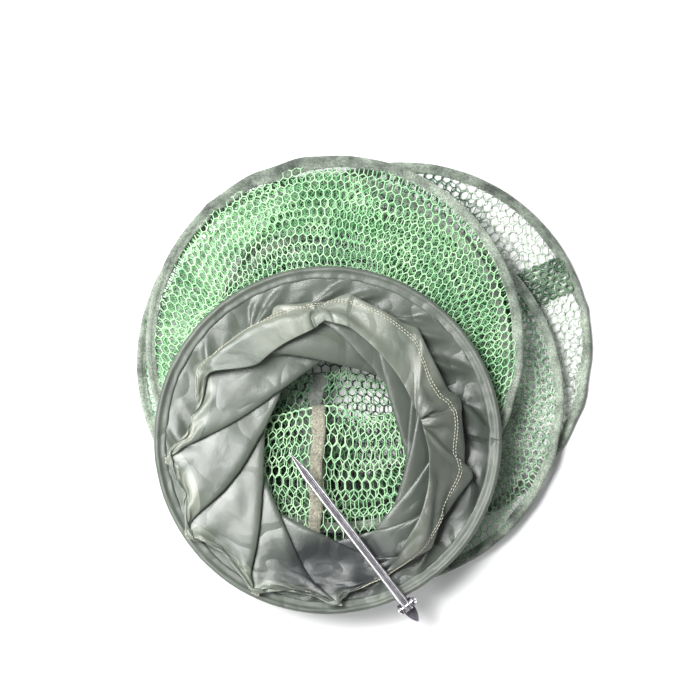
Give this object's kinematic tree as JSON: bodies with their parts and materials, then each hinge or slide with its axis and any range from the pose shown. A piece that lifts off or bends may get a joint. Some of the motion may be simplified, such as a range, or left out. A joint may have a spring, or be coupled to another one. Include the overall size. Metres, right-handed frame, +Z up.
{
  "type": "folding crab trap",
  "caption": "Folding crab trap: sprung hoops joined by hexagonal netting, with a gathered fabric mouth and a folding ground spike, folded flat.",
  "frame": {"origin": "middle of the bottom hoop, on the ground that the folded trap rests on", "axes": "+Z up through the folded stack, +Y from the mouth side towards the far edge of the upper hoop"},
  "size_m": [0.4357, 0.4423, 0.0793],
  "materials": {
    "hoop_steel": "drawn spring-steel wire",
    "crimp_zinc": "zinc-plated crimp",
    "binding_tape": "woven grey-green binding tape, slightly fuzzy",
    "green_netting": "light green knitted nylon thread",
    "seam_tape": "beige woven cotton tape",
    "sleeve_nylon": "satin grey-green coated nylon",
    "spike_chrome": "bright chrome plate",
    "bracket_steel": "dark blued plate, satin",
    "hinge_zinc": "zinc-plated fasteners"
  },
  "bodies": {
    "bottom_hoop": {"bottom_hoop_wire": "hoop_steel", "bottom_hoop_ferrule": "crimp_zinc", "bottom_hoop_binding": "binding_tape", "bottom_net": "green_netting", "lower_net_bay": "green_netting", "lower_seam_tape": "seam_tape"},
    "lower_hoop": {"lower_hoop_wire": "hoop_steel", "lower_hoop_ferrule": "crimp_zinc", "lower_hoop_binding": "binding_tape", "middle_net_bay": "green_netting", "middle_seam_tape": "seam_tape"},
    "middle_hoop": {"middle_hoop_wire": "hoop_steel", "middle_hoop_ferrule": "crimp_zinc", "middle_hoop_binding": "binding_tape", "upper_net_bay": "green_netting", "upper_seam_tape": "seam_tape"},
    "upper_hoop": {"upper_hoop_wire": "hoop_steel", "upper_hoop_ferrule": "crimp_zinc", "upper_hoop_binding": "binding_tape", "mouth_net_bay": "green_netting", "mouth_seam_tape": "seam_tape"},
    "mouth_hoop": {"mouth_hoop_wire": "hoop_steel", "mouth_hoop_ferrule": "crimp_zinc", "mouth_hoop_hem": "sleeve_nylon", "mouth_sleeve": "sleeve_nylon", "spike_bracket": "bracket_steel", "pivot_bolt": "hinge_zinc", "pivot_nut": "hinge_zinc", "pivot_washer_left": "hinge_zinc", "pivot_washer_right": "hinge_zinc"},
    "spike": {"spike_blade": "spike_chrome"}
  },
  "joints": [
    {"name": "lower_hoop_unfold", "type": "slide", "parent": "bottom_hoop", "child": "lower_hoop", "axis": [0.1384, 0.2497, 0.9584], "range_m": [0, 0.1962], "deforming": ["lower_net_bay", "lower_seam_tape"]},
    {"name": "middle_hoop_unfold", "type": "slide", "parent": "lower_hoop", "child": "middle_hoop", "axis": [0.2504, -0.1728, 0.9526], "range_m": [0, 0.1974], "deforming": ["middle_net_bay", "middle_seam_tape"]},
    {"name": "upper_hoop_unfold", "type": "slide", "parent": "middle_hoop", "child": "upper_hoop", "axis": [-0.0508, -0.0911, 0.9945], "range_m": [0, 0.189], "deforming": ["upper_net_bay", "upper_seam_tape"]},
    {"name": "mouth_hoop_unfold", "type": "slide", "parent": "upper_hoop", "child": "mouth_hoop", "axis": [0.0314, 0.441, 0.8969], "range_m": [0, 0.2074], "deforming": ["mouth_net_bay", "mouth_seam_tape"]},
    {"name": "spike_hinge", "type": "hinge", "parent": "mouth_hoop", "child": "spike", "pos_m": [0.00025, -0.24508, 0.0627], "axis": [0.7944, 0.6074, 0], "range_deg": [0, 180]}
  ]
}
